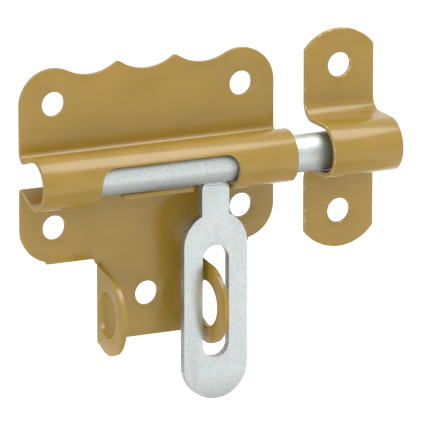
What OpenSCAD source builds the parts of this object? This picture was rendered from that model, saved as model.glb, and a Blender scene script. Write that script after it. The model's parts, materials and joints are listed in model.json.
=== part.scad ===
// Barrel bolt with a padlock hasp, its pressed steel case and its keeper.
// +X runs along the bolt towards the keeper, +Z is up, and the backs of the case and the keeper lie in Y = 0.
// The origin is the middle of the case's four screw holes. The front of the bolt faces -Y.

/* [Sheet steel] */
// Thickness of the case and keeper sheet
sheet_t = 1.2; // [1:0.1:1.4]
// Radius of the corner where the case turns into the top of the barrel
top_bend_r = 1.4; // [1.2:0.1:1.6]
// Radius inside the fold under the barrel
fold_r = 0.5; // [0.4:0.1:0.7]

/* [Case] */
// Distance between the screw holes along the bolt
hole_dx = 53.4; // [53:0.1:54]
// Distance between the screw holes across the bolt
hole_dz = 32.8; // [32.4:0.1:33.2]
// Diameter of every screw hole
screw_d = 6.5; // [5:0.1:7]
// Width of metal round the corner screw holes, from the hole's centre
corner_r = 9.4; // [9.2:0.1:9.6]
// Radius of the three scallops along the top edge
scallop_r = 13; // [12.5:0.1:13.5]
// Distance from one scallop to the next
scallop_step = 16.3; // [16:0.1:16.6]
// Radius of the two points between the scallops
point_r = 1.2; // [1:0.1:1.5]

/* [Barrel] */
// Distance of the bolt's axis in front of the wall
axis_y = 9.4; // [9.2:0.1:9.6]
// Height of the bolt's axis above the middle of the screw holes
axis_z = -2; // [-2.2:0.1:-1.8]
// Inside radius of the barrel
barrel_r = 5.8; // [5.7:0.1:5.9]
// Slope of the sheet as it runs from the wall up onto the barrel
top_slope = 20; // [18:1:22]
// Slope of the sheet as it runs from the wall down under the barrel
under_slope = 25; // [23:1:27]
// Left end of the window in the barrel
window_x0 = -19.8; // [-20:0.1:-19.6]
// Right end of the window in the barrel
window_x1 = 19.6; // [19.4:0.1:19.8]
// Height of the window's upper edge above the bolt's axis
window_top = 3.6; // [3.4:0.1:3.8]
// Radius of the window's two upper corners
window_r = 4.2; // [3.5:0.1:4.5]
// Left end of the lip under the bolt
lip_x0 = -10.4; // [-10.6:0.1:-10]
// Right end of the lip under the bolt
lip_x1 = 9.5; // [9:0.1:9.6]
// Distance of the lip's edge in front of the wall
lip_y = 8.9; // [8.6:0.1:9]
// Distance of the notches' back edge in front of the wall, on each side of the lip
notch_y = 4.5; // [4:0.1:5]

/* [Padlock ears] */
// Middle of the tab that carries the ears
tab_x = -0.5; // [-0.6:0.1:-0.4]
// Half the distance between the outer faces of the ears at the wall
tab_half = 14.4; // [14.2:0.1:14.5]
// Height of the wings' lower edge
wing_z = -26; // [-26.2:0.1:-25.9]
// Distance from the middle to the small step in the wings' lower edge
wing_step_x = 28.8; // [28:0.1:29]
// Radius of the relief between the wings and the roots of the ears
relief_r = 1.4; // [1.2:0.1:1.6]
// Height of the tab's lower edge
tab_z = -48.2; // [-49:0.1:-48]
// Height of the screw hole in the tab
tab_hole_z = -36.9; // [-38:0.1:-36]
// Inside radius of the bend at an ear's root
ear_bend_r = 0.8; // [0.6:0.1:1]
// Angle by which each ear leans outwards
ear_splay = 2.5; // [0:0.5:2.5]
// Distance of an eye's centre in front of the wall, along the ear
eye_y = 8.8; // [8.6:0.1:9]
// Height of the eyes' centres
eye_z = -39.4; // [-39.6:0.1:-39.2]
// Diameter of a padlock eye
eye_d = 12.2; // [11.8:0.1:12.4]
// Radius of an ear's rounded edge
ear_r = 10.6; // [10.2:0.1:10.7]

/* [Bolt bar] */
// Diameter of the bar
bar_d = 10; // [9.6:0.1:10.2]
// Left end of the bar
bar_x0 = -25; // [-30:0.5:-23]
// Right end of the bar
bar_x1 = 62; // [60:0.5:65]
// Size of the chamfer on the bar's ends
bar_chamfer = 1; // [0.5:0.1:1.5]

/* [Hasp] */
// Middle of the hasp along the bolt
hasp_x = 15; // [14.9:0.1:15.1]
// Thickness of the hasp
hasp_t = 2.3; // [2:0.1:2.5]
// Width of the hasp
hasp_w = 18.1; // [17.6:0.1:18.6]
// Width of the hasp's neck
neck_w = 7.7; // [7.4:0.1:7.8]
// Height of the centre of the hasp's upper round end
hasp_z0 = -23.7; // [-24.2:0.1:-23.4]
// Height of the centre of the hasp's lower round end
hasp_z1 = -55.9; // [-57:0.1:-55]
// Width of the slot
slot_w = 7.5; // [7.4:0.1:7.7]
// Height of the top of the slot
slot_z0 = -23.6; // [-24:0.1:-23]
// Height of the bottom of the slot
slot_z1 = -53.8; // [-54.2:0.1:-53]
// Radius of the neck's upper corners
neck_r = 1.4; // [1:0.1:1.8]
// Gap between the neck and the bar
neck_gap = 0.05; // [0.02:0.01:0.1]

/* [Keeper] */
// Left edge of the keeper
keeper_x0 = 45.3; // [45:0.1:46]
// Width of the keeper
keeper_w = 20; // [19:0.1:21]
// Height of the keeper's middle
keeper_z = -1.4; // [-1.6:0.1:-1.2]
// Distance between the keeper's screw holes
keeper_dz = 39.4; // [38:0.1:41]
// Height of the keeper from end to end
keeper_h = 59; // [57:0.1:61]
// Radius of the keeper's rounded ends
keeper_end_r = 12.6; // [11.5:0.1:14]
// Inside radius of the keeper's loop
loop_r = 5.9; // [5.8:0.1:6.2]
// Distance of the loop's centre in front of the wall
loop_y = 11.8; // [11:0.1:12.5]
// Radius of the corner between the keeper's flats and its loop
loop_bend_r = 3.6; // [3:0.1:4]

/* [Hidden] */
$fn = 96;
enamel = [0.65, 0.54, 0.31];
zinc = [0.80, 0.83, 0.85];

// how far a cut runs past what it cuts
margin = 2;
// longer than anything that it cuts
far = 60;
// how far a fillet reaches into the sheet that it joins
seam = 0.3;
// how far a round stands proud of a line that it meets, so that the two meet at a clean corner
proud = 0.01;

hx = hole_dx / 2;
hz = hole_dz / 2;
case_w = hole_dx + 2 * corner_r;
sheet_top = hz + corner_r + margin;
sheet_bottom = tab_z - margin;
barrel_ro = barrel_r + sheet_t;
axis = [axis_y, axis_z];

// the outer scallops touch the corner rounds, and the points are tangent to the scallops
scallop_z = hz + sqrt(pow(scallop_r + corner_r, 2) - pow(hx - scallop_step, 2));
point_z = scallop_z - sqrt(pow(scallop_r + point_r, 2) - pow(scallop_step / 2, 2));
shoulder_z = scallop_z - (scallop_z - point_z) * scallop_r / (scallop_r + point_r);
shoulder_x = hx - (hx - scallop_step) * corner_r / (scallop_r + corner_r);

tab_side = tab_half - ear_bend_r - sheet_t;
ear_top = wing_z - relief_r;
// the wings' corner rounds end just above the straight lower edge, which leaves the small step
wing_step = 0.25;
wing_r = corner_r - wing_step;

loop_ro = loop_r + sheet_t;

// ---- profiles drawn with x as the distance in front of the wall and y as the height ----

// extrudes a profile along X from x0 to x1
module along_x(x0, x1) {
    translate([x1, 0, 0]) rotate([90, 0, -90]) linear_extrude(x1 - x0) children();
}

// extrudes an outline drawn in X and Z from y0 in front of the wall to y1
module forward(y0, y1) {
    translate([0, -y0, 0]) rotate([90, 0, 0]) linear_extrude(y1 - y0) children();
}

// point on a line that is tangent to a circle of radius r at the barrel's centre, where the line
// has come back to the distance u from the wall; s is its slope and side is 1 above, -1 below
function on_line(r, s, side, u) =
    [u, axis_z + side * (r * cos(s) - (axis_y - r * sin(s) - u) * tan(s))];
function touch(r, s, side) = [axis_y - r * sin(s), axis_z + side * r * cos(s)];
function bend_centre(s, side, bend) =
    let (u = sheet_t + bend, r = barrel_ro + bend) on_line(r, s, side, u);

// keeps the points of an outline anticlockwise on both sides of the axis
function turned(side, points) = side < 0 ? points : [for (i = [len(points) - 1:-1:0]) points[i]];

// fills the area between the two lines and the circle of radius r
module omega(r, u) {
    translate(axis) circle(r + proud);
    polygon([axis, touch(r, top_slope, 1), on_line(r, top_slope, 1, u),
             on_line(r, under_slope, -1, u), touch(r, under_slope, -1)]);
}

// fills the corner between the wall's sheet and the barrel's outer line with a round of radius bend
module neck_rounds(s, side, bend) {
    centre = bend_centre(s, side, bend);
    n = [-sin(s), side * cos(s)];
    u = sheet_t - seam;
    difference() {
        polygon(turned(side, [on_line(barrel_ro - seam, s, side, u), [u, centre[1]], centre,
                              centre - (bend + seam) * n]));
        translate(centre) circle(bend);
    }
}

// rounds the cavity's edge where the sheet leaves the wall
module throat_rounds(s, side, bend) {
    centre = bend_centre(s, side, bend);
    n = [-sin(s), side * cos(s)];
    difference() {
        polygon(turned(side, [on_line(barrel_r, s, side, -1), [-1, centre[1]], [0, centre[1]], centre,
                              centre - (bend + sheet_t) * n]));
        translate(centre) circle(bend + sheet_t);
    }
}

// the pressed sheet from its upper flat, over the barrel, to its lower flat
module case_section() {
    difference() {
        union() {
            translate([0, sheet_bottom]) square([sheet_t, sheet_top - sheet_bottom]);
            omega(barrel_ro, 0);
            neck_rounds(top_slope, 1, top_bend_r);
            neck_rounds(under_slope, -1, fold_r);
        }
        omega(barrel_r, -1);
        throat_rounds(top_slope, 1, top_bend_r);
        throat_rounds(under_slope, -1, fold_r);
    }
}

// ---- outline of the pressing, drawn in X and Z ----

module scalloped_top() {
    difference() {
        translate([-shoulder_x, 0]) square([2 * shoulder_x, shoulder_z]);
        for (i = [-1:1]) translate([i * scallop_step, scallop_z]) circle(scallop_r);
    }
    for (i = [-1, 1]) translate([i * scallop_step / 2, point_z]) circle(point_r);
}

module case_outline() {
    scalloped_top();
    for (i = [-1, 1]) {
        translate([i * hx, hz]) circle(corner_r);
        translate([i * (case_w / 2 - wing_r), -hz]) circle(wing_r);
    }
    translate([-case_w / 2, -hz]) square([case_w, hole_dz]);
    translate([-wing_step_x, wing_z]) square([2 * wing_step_x, -hz - wing_z]);
    translate([tab_x - tab_side, tab_z]) square([2 * tab_side, wing_z - tab_z]);
    // the wings' lower edge is rounded into the roots of the ears
    for (i = [-1, 1]) difference() {
        translate([tab_x + i * tab_half, ear_top + relief_r / 2])
            square([2 * relief_r, relief_r], center = true);
        translate([tab_x + i * (tab_half + relief_r), ear_top]) circle(relief_r);
    }
    translate([tab_x - tab_half, ear_top]) square([2 * tab_half, wing_z - ear_top]);
}

// ---- cuts ----

// the window in the barrel's front, with two round upper corners
module window_outline() {
    top = axis_z + window_top;
    translate([window_x0, -hz]) square([window_x1 - window_x0, top - window_r + hz]);
    translate([window_x0 + window_r, -hz])
        square([window_x1 - window_x0 - 2 * window_r, top + hz]);
    for (x = [window_x0 + window_r, window_x1 - window_r])
        translate([x, top - window_r]) circle(window_r);
}

module window_cut() {
    notch_bottom = axis_z - barrel_ro - margin;
    notch_top = axis_z - barrel_r + margin;
    forward(lip_y, far) window_outline();
    forward(notch_y, far) for (span = [[window_x0, lip_x0], [lip_x1, window_x1]])
        translate([span[0], notch_bottom]) square([span[1] - span[0], notch_top - notch_bottom]);
}

module screw_holes() {
    places = [[-hx, hz], [hx, hz], [-hx, -hz], [hx, -hz], [tab_x, tab_hole_z]];
    for (p = places) translate([p[0], margin, p[1]]) rotate([90, 0, 0])
        cylinder(d = screw_d, h = sheet_t + 2 * margin);
}

// ---- padlock ears ----

module ear_outline() {
    difference() {
        union() {
            translate([eye_y, eye_z]) circle(ear_r);
            polygon([[-1, tab_z], [sheet_t, tab_z], [eye_y, eye_z - ear_r],
                     [eye_y, eye_z + ear_r], [sheet_t, ear_top], [-1, ear_top]]);
        }
        translate([eye_y, eye_z]) circle(d = eye_d);
    }
}

// fills a bend of radius r, seen from above, and the strip from x0 to r that leads forward from it
module ear_corner(x0, r) {
    circle(r);
    rotate([0, 0, ear_splay]) translate([x0, -far]) square([r - x0, far]);
}

// one ear on the +X side of the tab, bent forward from the tab's edge
module ear() {
    root_r = ear_bend_r + sheet_t;
    translate([tab_side, -root_r, 0]) intersection() {
        translate([0, 0, tab_z - far]) linear_extrude(2 * far) difference() {
            ear_corner(0, root_r);
            ear_corner(-1, ear_bend_r);
            translate([-2 * far, -far]) square([2 * far, 2 * far]);
        }
        rotate([0, 0, ear_splay]) translate([far, root_r, 0]) rotate([90, 0, -90])
            linear_extrude(2 * far) ear_outline();
    }
}

module case_plate() {
    color(enamel) {
        difference() {
            intersection() {
                along_x(-case_w / 2, case_w / 2) case_section();
                forward(-1, far) case_outline();
            }
            window_cut();
            screw_holes();
        }
        translate([tab_x, 0, 0]) {
            ear();
            mirror([1, 0, 0]) ear();
        }
    }
}

// ---- bolt, hasp and keeper ----

module bolt_bar() {
    r = bar_d / 2;
    c = bar_chamfer;
    color(zinc)
        translate([bar_x0, -axis_y, axis_z]) rotate([0, 90, 0]) rotate_extrude()
            polygon([[0, 0], [r - c, 0], [r, c], [r, bar_x1 - bar_x0 - c],
                     [r - c, bar_x1 - bar_x0], [0, bar_x1 - bar_x0]]);
}

// the neck runs a little way up beside the bar before the cut for the bar hollows its end
module hasp_outline() {
    neck_rise = 0.1;
    neck_top = axis_z - bar_d / 2 + neck_rise;
    for (z = [hasp_z0, hasp_z1]) translate([0, z]) circle(d = hasp_w);
    translate([-hasp_w / 2, hasp_z1]) square([hasp_w, hasp_z0 - hasp_z1]);
    translate([-neck_w / 2, hasp_z0]) square([neck_w, neck_top - neck_r - hasp_z0]);
    translate([neck_r - neck_w / 2, hasp_z0]) square([neck_w - 2 * neck_r, neck_top - hasp_z0]);
    for (i = [-1, 1]) translate([i * (neck_w / 2 - neck_r), neck_top - neck_r]) circle(neck_r);
}

module slot_outline() {
    r = slot_w / 2;
    for (z = [slot_z0 - r, slot_z1 + r]) translate([0, z]) circle(r);
    translate([-r, slot_z1 + r]) square([slot_w, slot_z0 - slot_z1 - slot_w]);
}

module hasp_plate() {
    color(zinc) translate([hasp_x, 0, 0]) difference() {
        forward(axis_y - hasp_t / 2, axis_y + hasp_t / 2) difference() {
            hasp_outline();
            slot_outline();
        }
        translate([-hasp_w, -axis_y, axis_z]) rotate([0, 90, 0])
            cylinder(r = bar_d / 2 + neck_gap, h = 2 * hasp_w);
    }
}

// the loop and its flats, drawn about the keeper's middle height
module keeper_section() {
    bend_z = loop_ro + loop_bend_r;
    difference() {
        union() {
            translate([0, -keeper_h / 2]) square([sheet_t, keeper_h]);
            translate([loop_y, 0]) circle(loop_ro);
            translate([0, -loop_ro]) square([loop_y, 2 * loop_ro]);
            for (i = [-1, 1]) difference() {
                translate([0, min(i * loop_r, i * bend_z)]) square([sheet_t + loop_bend_r, bend_z - loop_r]);
                translate([sheet_t + loop_bend_r, i * bend_z]) circle(loop_bend_r);
            }
        }
        translate([loop_y, 0]) circle(loop_r);
        translate([-1, -loop_r]) square([loop_y + 1, 2 * loop_r]);
        for (i = [-1, 1]) difference() {
            translate([-1, min(0, i * bend_z)]) square([1 + sheet_t + loop_bend_r, bend_z]);
            translate([sheet_t + loop_bend_r, i * bend_z]) circle(loop_bend_r + sheet_t);
        }
    }
}

module keeper_outline() {
    end_z = keeper_h / 2 - keeper_end_r;
    corner_z = end_z + sqrt(pow(keeper_end_r, 2) - pow(keeper_w / 2, 2));
    translate([-keeper_w / 2, -corner_z]) square([keeper_w, 2 * corner_z]);
    intersection() {
        translate([-keeper_w / 2, -keeper_h / 2]) square([keeper_w, keeper_h]);
        for (i = [-1, 1]) translate([0, i * end_z]) circle(keeper_end_r);
    }
}

module keeper_strap() {
    color(enamel) translate([keeper_x0 + keeper_w / 2, 0, keeper_z]) difference() {
        intersection() {
            along_x(-keeper_w / 2, keeper_w / 2) keeper_section();
            forward(-1, far) keeper_outline();
        }
        for (i = [-1, 1]) translate([0, margin, i * keeper_dz / 2]) rotate([90, 0, 0])
            cylinder(d = screw_d, h = sheet_t + 2 * margin);
    }
}

case_plate();
bolt_bar();
hasp_plate();
keeper_strap();
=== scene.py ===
import json
import math

import bpy
from bpy.props import FloatProperty, FloatVectorProperty, IntProperty, PointerProperty
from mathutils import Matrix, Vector


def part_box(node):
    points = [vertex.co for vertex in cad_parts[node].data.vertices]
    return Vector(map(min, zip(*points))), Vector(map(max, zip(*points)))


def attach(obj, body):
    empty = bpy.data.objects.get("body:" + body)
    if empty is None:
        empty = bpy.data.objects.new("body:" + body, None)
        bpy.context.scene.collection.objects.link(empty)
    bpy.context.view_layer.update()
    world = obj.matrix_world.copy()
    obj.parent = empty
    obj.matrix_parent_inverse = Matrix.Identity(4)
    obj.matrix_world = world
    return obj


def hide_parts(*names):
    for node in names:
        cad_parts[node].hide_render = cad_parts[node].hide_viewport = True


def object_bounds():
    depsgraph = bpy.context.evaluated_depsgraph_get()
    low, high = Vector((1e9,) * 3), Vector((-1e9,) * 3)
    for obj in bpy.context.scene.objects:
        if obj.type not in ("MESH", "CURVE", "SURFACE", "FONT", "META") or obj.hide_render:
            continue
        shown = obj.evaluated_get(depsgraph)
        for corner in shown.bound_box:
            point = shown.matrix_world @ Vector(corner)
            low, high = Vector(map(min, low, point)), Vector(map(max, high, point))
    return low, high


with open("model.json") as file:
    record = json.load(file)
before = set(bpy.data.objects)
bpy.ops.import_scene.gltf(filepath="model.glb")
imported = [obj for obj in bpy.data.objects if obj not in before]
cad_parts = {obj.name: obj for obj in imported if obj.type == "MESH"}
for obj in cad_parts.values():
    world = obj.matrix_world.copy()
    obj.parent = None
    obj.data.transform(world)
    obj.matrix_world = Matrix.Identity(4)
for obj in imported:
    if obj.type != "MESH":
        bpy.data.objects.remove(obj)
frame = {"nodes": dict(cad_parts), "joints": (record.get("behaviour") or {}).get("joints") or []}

bl_info = {
    "name": "Barrel Bolt",
    "version": (1, 0, 0),
    "blender": (4, 5, 0),
    "location": "View3D > Sidebar > Barrel Bolt",
    "description": "Makes an enamelled barrel bolt with its bar, hasp and keeper",
    "category": "Object",
}

CAD_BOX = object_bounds()
MM = 0.001
# the bolt's axis is the pin of the hasp's hinge
AXIS = Vector(next(j["pos_m"] for j in frame["joints"] if j["type"] == "hinge"))

# vertices nearer than this are one, and faces that turn less than this are one flat face
MERGE_DISTANCE = 0.002 * MM
FLAT_ANGLE = math.radians(0.4)
# an edge sharper than this is rounded, and stays an edge in the shading
SHARP_ANGLE = math.radians(30)
# a weld's lumps are steeper than that, and their shading runs on over them
LUMP_ANGLE = math.radians(60)

# what shows where the enamel is worn through, and in the pits of the enamel and the zinc
WORN_ENAMEL = (0.62, 0.47, 0.26)
ENAMEL_PIT = (0.12, 0.07, 0.02)
ZINC_PIT = (0.16, 0.17, 0.18)


# ---- settings ----


class BoltCaseSettings(bpy.types.PropertyGroup):
    edge_round: FloatProperty(
        name="Edge Round", description="Radius of the case's enamelled edges",
        default=0.28 * MM, min=0.05 * MM, max=0.5 * MM, precision=5, unit="LENGTH")


class BoltBarSettings(bpy.types.PropertyGroup):
    edge_round: FloatProperty(
        name="Edge Round", description="Radius of the turned edges at the bar's ends",
        default=0.25 * MM, min=0.05 * MM, max=0.5 * MM, precision=5, unit="LENGTH")
    sides: IntProperty(
        name="Sides", description="Number of flat strips that the bar's round is made of",
        default=128, min=32, max=256)
    chamfer: FloatProperty(
        name="Chamfer", description="Size of the chamfer at the bar's ends",
        default=1.0 * MM, min=0.2 * MM, max=2 * MM, precision=5, unit="LENGTH")


class BoltHaspSettings(bpy.types.PropertyGroup):
    edge_round: FloatProperty(
        name="Edge Round", description="Radius of the hasp's stamped edges",
        default=0.22 * MM, min=0.05 * MM, max=0.5 * MM, precision=5, unit="LENGTH")


class BoltWeldSettings(bpy.types.PropertyGroup):
    neck_width: FloatProperty(
        name="Neck Width", description="Width of the neck that is welded to the bar",
        default=7.7 * MM, min=5 * MM, max=10 * MM, precision=5, unit="LENGTH")
    end_gap: FloatProperty(
        name="End Gap", description="Distance from each end of the weld to the neck's side",
        default=0.3 * MM, min=0, max=2 * MM, precision=5, unit="LENGTH")
    radius: FloatProperty(
        name="Radius", description="Radius of the weld between the neck and the bar",
        default=0.55 * MM, min=0.2 * MM, max=1 * MM, precision=5, unit="LENGTH")
    drop: FloatProperty(
        name="Drop", description="How far the weld's middle is below the line where neck and bar meet",
        default=0.15 * MM, min=0, max=1 * MM, precision=5, unit="LENGTH")
    lumps: FloatProperty(
        name="Lumps", description="Height of the weld's lumps as a share of its radius",
        default=0.16, min=0, max=0.4)
    seed: IntProperty(
        name="Seed", description="Picks another run of lumps",
        default=7, min=0, max=100)


class BoltKeeperSettings(bpy.types.PropertyGroup):
    edge_round: FloatProperty(
        name="Edge Round", description="Radius of the keeper's enamelled edges",
        default=0.28 * MM, min=0.05 * MM, max=0.5 * MM, precision=5, unit="LENGTH")


class BoltFinishSettings(bpy.types.PropertyGroup):
    enamel: FloatVectorProperty(
        name="Enamel", description="Colour of the gold enamel",
        default=(0.295, 0.181, 0.022), min=0, max=1, subtype="COLOR")
    enamel_edge: FloatVectorProperty(
        name="Enamel Edge", description="Colour of the enamel where it thins over an edge",
        default=(0.335, 0.206, 0.022), min=0, max=1, subtype="COLOR")
    zinc: FloatVectorProperty(
        name="Zinc", description="Colour of the zinc plating",
        default=(0.57, 0.613, 0.606), min=0, max=1, subtype="COLOR")
    cut_steel: FloatVectorProperty(
        name="Cut Edge", description="Colour of the hasp's stamped edges under the thin plating",
        default=(0.46, 0.48, 0.46), min=0, max=1, subtype="COLOR")
    bar_roughness: FloatProperty(
        name="Bar Roughness", description="Roughness of the bar's zinc where it is smoothest",
        default=0.42, min=0, max=1)
    hasp_roughness: FloatProperty(
        name="Hasp Roughness", description="Roughness of the hasp's zinc where it is smoothest",
        default=0.32, min=0, max=1)


class BoltStageSettings(bpy.types.PropertyGroup):
    floor_drop: FloatProperty(
        name="Floor Drop", description="Distance from the hasp's end down to the floor",
        default=0.12, min=0, max=1, unit="LENGTH")
    floor_size: FloatProperty(
        name="Floor Size", description="Length of each side of the floor",
        default=12.0, min=1, max=20, unit="LENGTH")
    card_drop: FloatProperty(
        name="Card Drop", description="Distance from the hasp's end down to the low grey card",
        default=0.1, min=0, max=1, unit="LENGTH")
    softbox_size: FloatProperty(
        name="Softbox Size", description="Length of each side of the soft lights",
        default=1.0, min=0.1, max=5, unit="LENGTH")
    view_azimuth: FloatProperty(
        name="View Azimuth", description="How far the camera stands to the left of straight ahead",
        default=math.radians(25.56), subtype="ANGLE", unit="ROTATION")
    view_elevation: FloatProperty(
        name="View Elevation", description="How far the camera looks down",
        default=math.radians(14.97), subtype="ANGLE", unit="ROTATION")
    view_distance: FloatProperty(
        name="View Distance", description="Distance from the camera to the point it looks at",
        default=1.74, min=0.5, max=5, unit="LENGTH")
    aim: FloatVectorProperty(
        name="Aim", description="Point that the camera looks at",
        default=(0.01397, -0.01097, -0.01448), subtype="XYZ", unit="LENGTH")
    lens: FloatProperty(
        name="Lens", description="Focal length of the camera",
        default=568, min=50, max=1000, unit="CAMERA")


SETTINGS = {
    "bolt_case": BoltCaseSettings,
    "bolt_bar": BoltBarSettings,
    "bolt_hasp": BoltHaspSettings,
    "bolt_weld": BoltWeldSettings,
    "bolt_keeper": BoltKeeperSettings,
    "bolt_finish": BoltFinishSettings,
    "bolt_stage": BoltStageSettings,
}


# ---- finishes ----


class Field:
    """A number that varies over a surface. Sums on it add Math nodes to its finish."""

    def __init__(self, finish, socket):
        self.finish = finish
        self.socket = socket

    def math(self, operation, *values):
        return self.finish.node("ShaderNodeMath", {"operation": operation}, dict(enumerate(values)))

    def __add__(self, other):
        return self.math("ADD", self, other)

    __radd__ = __add__

    def __sub__(self, other):
        return self.math("SUBTRACT", self, other)

    def __rsub__(self, other):
        return self.math("SUBTRACT", other, self)

    def __mul__(self, other):
        return self.math("MULTIPLY", self, other)

    __rmul__ = __mul__

    def between(self, start, end):
        """Runs smoothly from 0, where the field is at start, to 1, where it is at end."""
        return self.finish.node(
            "ShaderNodeMapRange", {"interpolation_type": "SMOOTHSTEP"},
            {"Value": self, "From Min": start, "From Max": end})


class Finish:
    """A material whose pattern is built from nodes on the piece's own coordinates."""

    def __init__(self, name, **constants):
        self.material = bpy.data.materials.new(name)
        self.material.use_nodes = True
        self.tree = self.material.node_tree
        self.shader = self.tree.nodes["Principled BSDF"]
        for socket, value in constants.items():
            self.set(socket.replace("_", " "), value)
        self.place = self.node("ShaderNodeTexCoord", output="Object")

    def set(self, socket, value):
        self.join(value, self.shader.inputs[socket])

    def join(self, value, socket):
        if isinstance(value, Field):
            self.tree.links.new(value.socket, socket)
        else:
            socket.default_value = value

    def node(self, kind, settings=None, values=None, output=0):
        """Adds a node, first with its settings and then with its sockets' values or links."""
        made = self.tree.nodes.new(kind)
        for name, value in (settings or {}).items():
            setattr(made, name, value)
        for name, value in (values or {}).items():
            self.join(value, made.inputs[name])
        return Field(self, made.outputs[output])

    def stretched(self, scale):
        """The piece's coordinates, scaled apart along X, Y and Z."""
        return self.node("ShaderNodeMapping", None, {"Vector": self.place, "Scale": scale})

    def noise(self, size, detail=2.0, roughness=0.5, stretch=(1, 1, 1)):
        """Cloudy noise from 0 to 1 whose lumps are about size metres across."""
        values = {"Vector": self.stretched(stretch), "Scale": 1 / size,
                  "Detail": detail, "Roughness": roughness}
        return self.node("ShaderNodeTexNoise", None, values)

    def blend(self, share, first, second):
        """A colour that runs from first to second as share runs from 0 to 1."""
        mix = self.tree.nodes.new("ShaderNodeMix")
        mix.data_type = "RGBA"
        colours = [s for s in mix.inputs if s.type == "RGBA"]
        self.join(share, mix.inputs[0])
        for socket, colour in zip(colours, (first, second)):
            self.join(colour if isinstance(colour, Field) else (*colour, 1), socket)
        return Field(self, next(s for s in mix.outputs if s.type == "RGBA"))

    def bump(self, height, distance):
        """Raises the surface by height times distance, in metres."""
        values = {"Strength": 1.0, "Distance": distance, "Height": height}
        self.set("Normal", self.node("ShaderNodeBump", None, values))


def shade(colour, amount):
    """The colour made lighter or darker by a factor."""
    return tuple(min(1, c * amount) for c in colour)


def tint(colour, red, blue):
    """The colour with its red and its blue changed by a factor."""
    return (min(1, colour[0] * red), colour[1], min(1, colour[2] * blue))


def gold_enamel(name, colour):
    """Satin stove enamel with a faint orange peel and the streaks of the rolled sheet under it."""
    f = Finish(name, IOR=1.5, Coat_Weight=0.2, Coat_Roughness=0.25)
    clouds = f.noise(14 * MM, 3)
    streaks = f.noise(1.6 * MM, 2, stretch=(0.06, 1, 1))
    peel = f.noise(0.9 * MM, 2)
    specks = f.noise(0.35 * MM, 1).between(0.70, 0.80)
    base = f.blend(clouds.between(0.3, 0.7), shade(colour, 0.94), shade(colour, 1.06))
    streaked = f.blend(streaks.between(0.35, 0.75) * 0.35, base, shade(colour, 0.85))
    f.set("Base Color", f.blend(specks * 0.35, streaked, shade(colour, 0.6)))
    f.set("Roughness", 0.19 + clouds * 0.06 + specks * 0.15)
    f.bump(peel * 0.7 + streaks * 0.3, 0.012 * MM)
    return f.material


def enamel_edge(name, colour):
    """Enamel over an edge, worn pale in small places and pitted."""
    f = Finish(name, IOR=1.5, Coat_Weight=0.3, Coat_Roughness=0.2)
    run = f.noise(5 * MM, 3)
    chips = f.noise(1.4 * MM, 3, 0.6).between(0.53, 0.58) * run.between(0.46, 0.53)
    pits = f.noise(0.8 * MM, 1).between(0.70, 0.76)
    base = f.blend(run, shade(colour, 0.85), shade(colour, 1.15))
    worn = f.blend(chips * 0.8, base, WORN_ENAMEL)
    f.set("Base Color", f.blend(pits * 0.6, worn, ENAMEL_PIT))
    f.set("Roughness", 0.30 + chips * 0.2)
    f.bump(f.noise(0.8 * MM, 2) - chips * 0.8, 0.03 * MM)
    return f.material


def zinc_plate(name, colour, roughness, stretch=(1, 1, 1)):
    """Zinc over steel, mottled by its grain, tinted warm and cool, with small dark pits."""
    f = Finish(name, Metallic=1.0)
    grain = f.noise(0.45 * MM, 3, 0.6, stretch)
    clouds = f.noise(7 * MM, 2, 0.5, stretch)
    tints = f.noise(4 * MM, 3, 0.6, stretch)
    pits = f.noise(0.42 * MM, 1).between(0.72, 0.77) * clouds.between(0.42, 0.6)
    base = f.blend(grain.between(0.3, 0.7), shade(colour, 0.89), shade(colour, 1.09))
    cloudy = f.blend(clouds.between(0.4, 0.75) * 0.3, base, shade(colour, 1.15))
    tinted = f.blend(tints.between(0.5, 0.7) * 0.4, cloudy, tint(colour, 1.07, 0.90))
    cooled = f.blend(tints.between(0.5, 0.3) * 0.4, tinted, tint(colour, 0.90, 1.05))
    f.set("Base Color", f.blend(pits * 0.75, cooled, ZINC_PIT))
    f.set("Roughness", roughness + clouds * 0.10 + pits * 0.3)
    f.bump(grain * 0.5 - pits * 1.5, 0.012 * MM)
    return f.material


def cut_edge(name, colour, zinc):
    """A stamped edge, torn across the sheet's thickness, with patches of thicker plating."""
    f = Finish(name, Metallic=1.0)
    tears = f.noise(0.35 * MM, 3, 0.6, (1, 0.25, 1))
    patches = f.noise(2.2 * MM, 2)
    base = f.blend(tears.between(0.3, 0.7), shade(colour, 0.6), shade(colour, 1.35))
    f.set("Base Color", f.blend(patches.between(0.55, 0.75) * 0.5, base, shade(zinc, 0.7)))
    f.set("Roughness", 0.38 + tears * 0.2)
    f.bump(tears, 0.05 * MM)
    return f.material


def weld_metal(name, zinc):
    """Plated weld metal, with a stronger grain than the sheet beside it."""
    f = Finish(name, Metallic=1.0)
    grain = f.noise(0.5 * MM, 3, 0.6)
    f.set("Base Color", f.blend(grain.between(0.3, 0.7), shade(zinc, 0.75), shade(zinc, 1.15)))
    f.set("Roughness", 0.25 + grain * 0.2)
    f.bump(grain, 0.03 * MM)
    return f.material


def floor_paint(name):
    """Plain pale paint."""
    return Finish(name, Roughness=0.9, Base_Color=(0.93, 0.93, 0.93, 1)).material


def card_paint(name):
    """Matt grey card."""
    return Finish(name, Roughness=1.0, Base_Color=(0.42, 0.42, 0.42, 1)).material


# ---- modelling ----


def deselect_all():
    if bpy.context.object and bpy.context.object.mode != "OBJECT":
        bpy.ops.object.mode_set(mode="OBJECT")
    bpy.ops.object.select_all(action="DESELECT")


def make_active(piece):
    deselect_all()
    piece.select_set(True)
    bpy.context.view_layer.objects.active = piece


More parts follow.
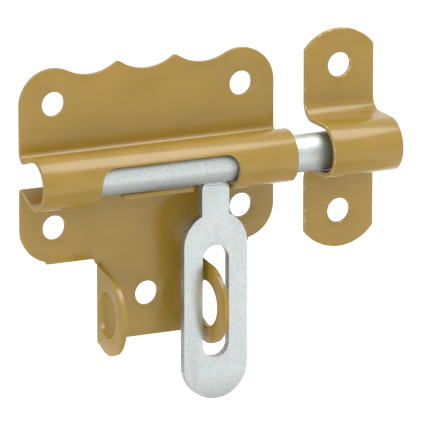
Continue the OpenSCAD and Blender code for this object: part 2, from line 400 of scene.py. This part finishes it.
def merged_copy(node, name):
    """A copy of a CAD node as one closed mesh, its flat faces joined up."""
    piece = bpy.data.objects.new(name, frame["nodes"][node].data.copy())
    bpy.context.scene.collection.objects.link(piece)
    piece.data.materials.clear()
    make_active(piece)
    bpy.ops.mesh.customdata_custom_splitnormals_clear()
    bpy.ops.object.mode_set(mode="EDIT")
    bpy.ops.mesh.select_mode(type="VERT")
    bpy.ops.mesh.select_all(action="SELECT")
    bpy.ops.mesh.remove_doubles(threshold=MERGE_DISTANCE)
    bpy.ops.mesh.dissolve_limited(angle_limit=FLAT_ANGLE)
    bpy.ops.object.mode_set(mode="OBJECT")
    return piece


def round_edges(piece, radius, rim_slot=0, segments=3):
    """Rounds every sharp edge; the rounds take the material in rim_slot."""
    make_active(piece)
    bevel = piece.modifiers.new("edge_round", "BEVEL")
    bevel.width = radius
    bevel.segments = segments
    bevel.limit_method = "ANGLE"
    bevel.angle_limit = SHARP_ANGLE
    bevel.material = rim_slot
    bevel.use_clamp_overlap = True
    bevel.harden_normals = False
    bpy.ops.object.modifier_apply(modifier=bevel.name)


def smooth_by_angle(piece, angle=SHARP_ANGLE):
    make_active(piece)
    bpy.ops.object.shade_smooth_by_angle(angle=angle)


def give_materials(piece, *materials):
    for material in materials:
        piece.data.materials.append(material)


def paint_sides(piece, slot):
    """Gives the material in slot to each face that looks neither forward nor back."""
    for face in piece.data.polygons:
        if abs(face.normal.y) < 0.5:
            face.material_index = slot


def finish_piece(piece, body, slot, *nodes):
    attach(piece, body)
    if nodes:
        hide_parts(*nodes)


def material(name, build, *values):
    """The material of that name, built the first time that it is asked for."""
    return bpy.data.materials.get(name) or build(name, *values)


def enamels(context):
    """The enamel of a flat face and that of an edge."""
    colours = context.scene.bolt_finish
    return (material("stove_enamel", gold_enamel, colours.enamel),
            material("stove_enamel_edge", enamel_edge, colours.enamel_edge))


# ---- operators ----


class BOLT_OT_case(bpy.types.Operator):
    """Make the pressed case with its barrel, window and padlock ears"""

    bl_idname = "bolt.make_case"
    bl_label = "Make Case"

    def execute(self, context):
        sizes = context.scene.bolt_case
        case = merged_copy("case_plate", "case")
        give_materials(case, *enamels(context))
        round_edges(case, sizes.edge_round, rim_slot=1)
        smooth_by_angle(case)
        finish_piece(case, "mounting", "gold_enamel", "case_plate")
        return {"FINISHED"}


class BOLT_OT_bar(bpy.types.Operator):
    """Make the round bar"""

    bl_idname = "bolt.make_bar"
    bl_label = "Make Bar"

    def execute(self, context):
        sizes = context.scene.bolt_bar
        finish = context.scene.bolt_finish
        low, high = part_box("bolt_bar")
        middle = (low + high) / 2
        deselect_all()
        bpy.ops.mesh.primitive_cylinder_add(
            vertices=sizes.sides, radius=(high.z - low.z) / 2, depth=high.x - low.x,
            location=middle, rotation=(0, math.radians(90), 0))
        bar = context.object
        bar.name = "bar"
        bpy.ops.object.transform_apply(location=True, rotation=True, scale=True)
        drawn_along_x = (0.45, 1, 1)
        give_materials(bar, material(
            "zinc_bar", zinc_plate, finish.zinc, finish.bar_roughness, drawn_along_x))
        round_edges(bar, sizes.chamfer, segments=1)
        round_edges(bar, sizes.edge_round)
        smooth_by_angle(bar)
        finish_piece(bar, "bolt", "zinc_plate", "bolt_bar")
        return {"FINISHED"}


class BOLT_OT_hasp(bpy.types.Operator):
    """Make the slotted hasp"""

    bl_idname = "bolt.make_hasp"
    bl_label = "Make Hasp"

    def execute(self, context):
        sizes = context.scene.bolt_hasp
        finish = context.scene.bolt_finish
        hasp = merged_copy("hasp_plate", "hasp")
        give_materials(
            hasp, material("zinc_sheet", zinc_plate, finish.zinc, finish.hasp_roughness),
            material("zinc_cut_edge", cut_edge, finish.cut_steel, finish.zinc))
        paint_sides(hasp, 1)
        round_edges(hasp, sizes.edge_round)
        smooth_by_angle(hasp)
        finish_piece(hasp, "hasp", "zinc_plate", "hasp_plate")
        return {"FINISHED"}


class BOLT_OT_weld(bpy.types.Operator):
    """Make the two welds that hold the hasp's neck to the bar"""

    bl_idname = "bolt.make_weld"
    bl_label = "Make Weld"

    def execute(self, context):
        sizes = context.scene.bolt_weld
        hasp_low, hasp_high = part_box("hasp_plate")
        bar_low, bar_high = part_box("bolt_bar")
        middle_x = (hasp_low.x + hasp_high.x) / 2
        bar_radius = (bar_high.z - bar_low.z) / 2
        metal = material("plated_weld", weld_metal, context.scene.bolt_finish.zinc)
        for side, y in (("front", hasp_low.y), ("back", hasp_high.y)):
            meeting_z = AXIS.z - math.sqrt(bar_radius**2 - (y - AXIS.y)**2)
            deselect_all()
            bpy.ops.mesh.primitive_uv_sphere_add(segments=18, ring_count=9, radius=1, location=(0, 0, 0))
            weld = context.object
            weld.name = "weld_" + side
            bpy.ops.object.mode_set(mode="EDIT")
            bpy.ops.mesh.select_all(action="SELECT")
            bpy.ops.transform.vertex_random(offset=sizes.lumps, seed=sizes.seed)
            bpy.ops.object.mode_set(mode="OBJECT")
            weld.scale = (sizes.neck_width / 2 - sizes.end_gap, sizes.radius, sizes.radius)
            weld.location = (middle_x, y, meeting_z - sizes.drop)
            bpy.ops.object.transform_apply(location=True, rotation=True, scale=True)
            smoothing = weld.modifiers.new("weld_flow", "SUBSURF")
            smoothing.levels = smoothing.render_levels = 2
            bpy.ops.object.modifier_apply(modifier=smoothing.name)
            give_materials(weld, metal)
            smooth_by_angle(weld, LUMP_ANGLE)
            finish_piece(weld, "hasp", "zinc_plate")
        return {"FINISHED"}


class BOLT_OT_keeper(bpy.types.Operator):
    """Make the keeper"""

    bl_idname = "bolt.make_keeper"
    bl_label = "Make Keeper"

    def execute(self, context):
        sizes = context.scene.bolt_keeper
        keeper = merged_copy("keeper_strap", "keeper")
        give_materials(keeper, *enamels(context))
        round_edges(keeper, sizes.edge_round, rim_slot=1)
        smooth_by_angle(keeper)
        finish_piece(keeper, "mounting", "gold_enamel", "keeper_strap")
        return {"FINISHED"}


class BOLT_OT_stage(bpy.types.Operator):
    """Set the floor, the lights and the camera"""

    bl_idname = "bolt.set_stage"
    bl_label = "Set Stage"

    def execute(self, context):
        sizes = context.scene.bolt_stage
        low = Vector(CAD_BOX[0])
        deselect_all()
        bpy.ops.mesh.primitive_plane_add(size=sizes.floor_size, location=(0, 0, low.z - sizes.floor_drop))
        floor = context.object
        floor.name = "floor"
        give_materials(floor, material("pale_floor", floor_paint))
        self.grey_card("low_card", place=(0, -0.06, low.z - sizes.card_drop), turn=(0, 0, 0), size=0.34)
        self.grey_card("back_card", place=(-0.16, 0.30, -0.13), turn=(90, 0, 25), size=0.3)
        self.light("top_softbox", place=(0.45, -0.35, 1.3), size=sizes.softbox_size, power=12)
        self.light("left_softbox", place=(-1.6, -0.7, 0.5), size=sizes.softbox_size, power=9)
        world = bpy.data.worlds.new("studio")
        world.use_nodes = True
        background = world.node_tree.nodes["Background"]
        background.inputs["Color"].default_value = (1, 1, 1, 1)
        background.inputs["Strength"].default_value = 1.0
        context.scene.world = world
        context.scene.view_settings.view_transform = "Standard"
        self.camera(context.scene, sizes)
        return {"FINISHED"}

    def grey_card(self, name, place, turn, size):
        """Adds a card, turned by degrees, that shows only in reflections."""
        deselect_all()
        rotation = [math.radians(angle) for angle in turn]
        bpy.ops.mesh.primitive_plane_add(size=size, location=place, rotation=rotation)
        card = bpy.context.object
        card.name = name
        card.visible_camera = False
        card.visible_diffuse = False
        card.visible_shadow = False
        give_materials(card, material("grey_card", card_paint))

    def light(self, name, place, size, power):
        """Adds a square soft light that faces the origin."""
        deselect_all()
        bpy.ops.object.light_add(type="AREA", location=place)
        light = bpy.context.object
        light.name = name
        light.rotation_euler = (-Vector(place)).to_track_quat("-Z", "Y").to_euler()
        light.data.size = size
        light.data.energy = power

    def camera(self, scene, sizes):
        """Adds the camera, which looks at the bolt from the left and from a little above."""
        azimuth, elevation = sizes.view_azimuth, sizes.view_elevation
        level = math.cos(elevation)
        back = Vector((-math.sin(azimuth) * level, -math.cos(azimuth) * level, math.sin(elevation)))
        place = Vector(sizes.aim) + back * sizes.view_distance
        deselect_all()
        bpy.ops.object.camera_add(location=place, rotation=(-back).to_track_quat("-Z", "Y").to_euler())
        camera = bpy.context.object
        camera.name = "camera"
        camera.data.lens = sizes.lens
        camera.data.clip_end = 50
        scene.camera = camera


STEPS = [BOLT_OT_stage, BOLT_OT_case, BOLT_OT_bar, BOLT_OT_hasp, BOLT_OT_weld, BOLT_OT_keeper]


class BOLT_PT_panel(bpy.types.Panel):
    """Lists the steps that make the bolt and the sizes and colours that they use"""

    bl_label = "Barrel Bolt"
    bl_space_type = "VIEW_3D"
    bl_region_type = "UI"
    bl_category = "Barrel Bolt"

    def draw(self, context):
        for step in STEPS:
            self.layout.operator(step.bl_idname)
        for name, group in SETTINGS.items():
            box = self.layout.box()
            box.label(text=name.replace("_", " ").title())
            for setting in group.__annotations__:
                box.prop(getattr(context.scene, name), setting)


def register():
    for group in SETTINGS.values():
        bpy.utils.register_class(group)
    for name, group in SETTINGS.items():
        setattr(bpy.types.Scene, name, PointerProperty(type=group))
    for part in (*STEPS, BOLT_PT_panel):
        bpy.utils.register_class(part)


def unregister():
    for part in reversed((*STEPS, BOLT_PT_panel)):
        bpy.utils.unregister_class(part)
    for name, group in reversed(SETTINGS.items()):
        delattr(bpy.types.Scene, name)
        bpy.utils.unregister_class(group)


def run(step):
    """Calls an operator by its name."""
    group, name = step.bl_idname.split(".")
    getattr(getattr(bpy.ops, group), name)()


def main():
    register()
    for step in STEPS:
        run(step)
    deselect_all()


if __name__ == "__main__":
    main()
